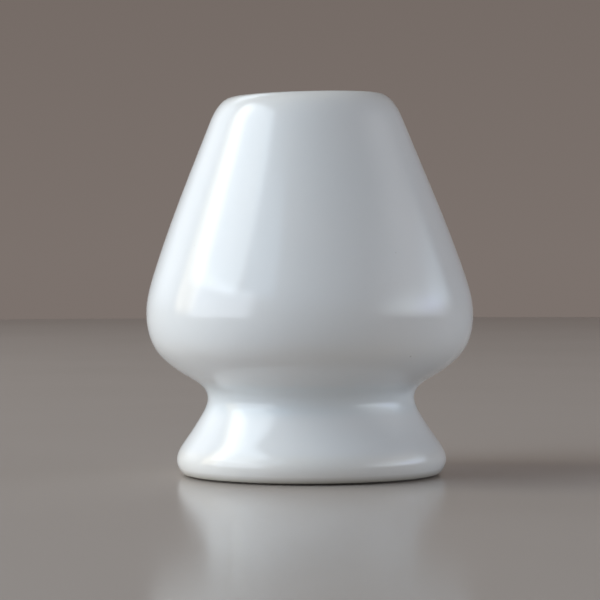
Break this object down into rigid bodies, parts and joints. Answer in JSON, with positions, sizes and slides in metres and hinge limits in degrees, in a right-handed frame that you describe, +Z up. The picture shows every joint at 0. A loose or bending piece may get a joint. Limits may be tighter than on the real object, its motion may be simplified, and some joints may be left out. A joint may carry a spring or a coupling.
{
  "type": "matcha whisk holder",
  "caption": "Waisted white porcelain stand with a narrow open mouth and a flared foot, on which a bamboo matcha whisk dries and keeps its shape.",
  "frame": {"origin": "centre of the foot ring, on the surface that the holder stands on", "axes": "+Z up the axis of revolution, from the foot ring to the lip; the shape is round, so X and Y are free"},
  "size_m": [0.0646, 0.0646, 0.075],
  "materials": {
    "porcelain_body": "unglazed, fine grained and matt",
    "outer_glaze": "white gloss glaze",
    "inner_glaze": "thin white gloss glaze"
  },
  "bodies": {
    "root": {"porcelain_body": "porcelain_body", "outer_glaze": "outer_glaze", "inner_glaze": "inner_glaze"}
  },
  "joints": []
}
